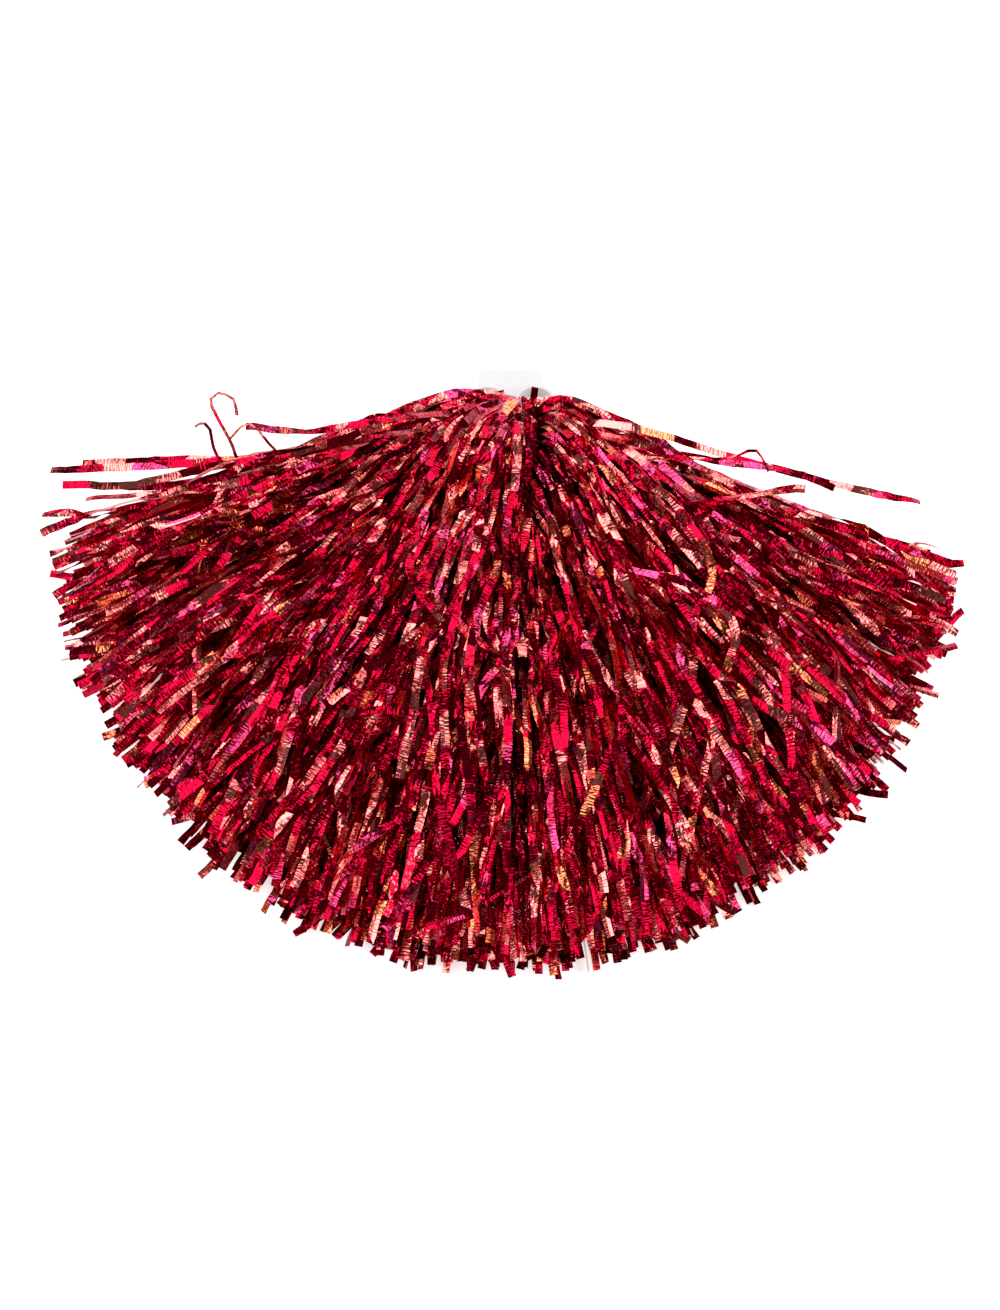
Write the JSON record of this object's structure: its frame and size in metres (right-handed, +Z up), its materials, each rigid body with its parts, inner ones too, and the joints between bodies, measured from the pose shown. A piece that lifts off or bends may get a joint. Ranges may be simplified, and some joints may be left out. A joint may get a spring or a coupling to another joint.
{
  "type": "cheer pom pom",
  "caption": "Fringed foil cheer pom pom lying fanned out on a table, with a moulded handle of finger rings and strand tufts that lift and sweep about the tie.",
  "frame": {"origin": "on the table, under the middle of the whole object's box, so the tie is at +Y from it", "axes": "+Z up from the table, -Y from the handle towards the front of the fan, +X to the right seen from the front"},
  "size_m": [0.5598, 0.397, 0.1029],
  "materials": {
    "red_foil": "crinkled holographic metallic film, slit to fringe",
    "handle_plastic": "satin moulded white plastic",
    "tie_plastic": "natural moulded nylon"
  },
  "bodies": {
    "lower_fan": {"lower_tuft_left_end": "red_foil", "lower_tuft_left_outer": "red_foil", "lower_tuft_left_inner": "red_foil", "lower_tuft_front": "red_foil", "lower_tuft_right_inner": "red_foil", "lower_tuft_right_outer": "red_foil", "lower_tuft_right_end": "red_foil"},
    "handle": {"ring_handle": "handle_plastic", "gathered_foil": "red_foil", "cable_tie": "tie_plastic"},
    "middle_left": {"middle_tuft_left_inner": "red_foil", "middle_tuft_left_centre": "red_foil", "middle_tuft_left_outer": "red_foil"},
    "middle_right": {"middle_tuft_right_inner": "red_foil", "middle_tuft_right_centre": "red_foil", "middle_tuft_right_outer": "red_foil"},
    "top_left": {"top_tuft_left_inner": "red_foil", "top_tuft_left_outer": "red_foil"},
    "top_right": {"top_tuft_right_inner": "red_foil", "top_tuft_right_outer": "red_foil"},
    "wing_left": {"wing_tuft_left_front": "red_foil", "wing_tuft_left_back": "red_foil"},
    "wing_right": {"wing_tuft_right_front": "red_foil", "wing_tuft_right_back": "red_foil"}
  },
  "joints": [
    {"name": "handle_tilt", "type": "hinge", "parent": "lower_fan", "child": "handle", "pos_m": [0, 0.15154, 0.02012], "axis": [1, 0, 0], "range_deg": [0, 60]},
    {"name": "middle_left_lift", "type": "hinge", "parent": "lower_fan", "child": "middle_left", "pos_m": [0, 0.15154, 0.02012], "axis": [-1, 0, 0], "range_deg": [0, 25]},
    {"name": "middle_right_lift", "type": "hinge", "parent": "lower_fan", "child": "middle_right", "pos_m": [0, 0.15154, 0.02012], "axis": [-1, 0, 0], "range_deg": [0, 25]},
    {"name": "top_left_lift", "type": "hinge", "parent": "middle_left", "child": "top_left", "pos_m": [0, 0.15154, 0.02012], "axis": [-1, 0, 0], "range_deg": [0, 25]},
    {"name": "top_right_lift", "type": "hinge", "parent": "middle_right", "child": "top_right", "pos_m": [0, 0.15154, 0.02012], "axis": [-1, 0, 0], "range_deg": [0, 25]},
    {"name": "wing_left_sweep", "type": "hinge", "parent": "lower_fan", "child": "wing_left", "pos_m": [0, 0.15154, 0.02012], "axis": [0, 0, -1], "range_deg": [0, 20]},
    {"name": "wing_right_sweep", "type": "hinge", "parent": "lower_fan", "child": "wing_right", "pos_m": [0, 0.15154, 0.02012], "axis": [0, 0, 1], "range_deg": [0, 20]}
  ]
}
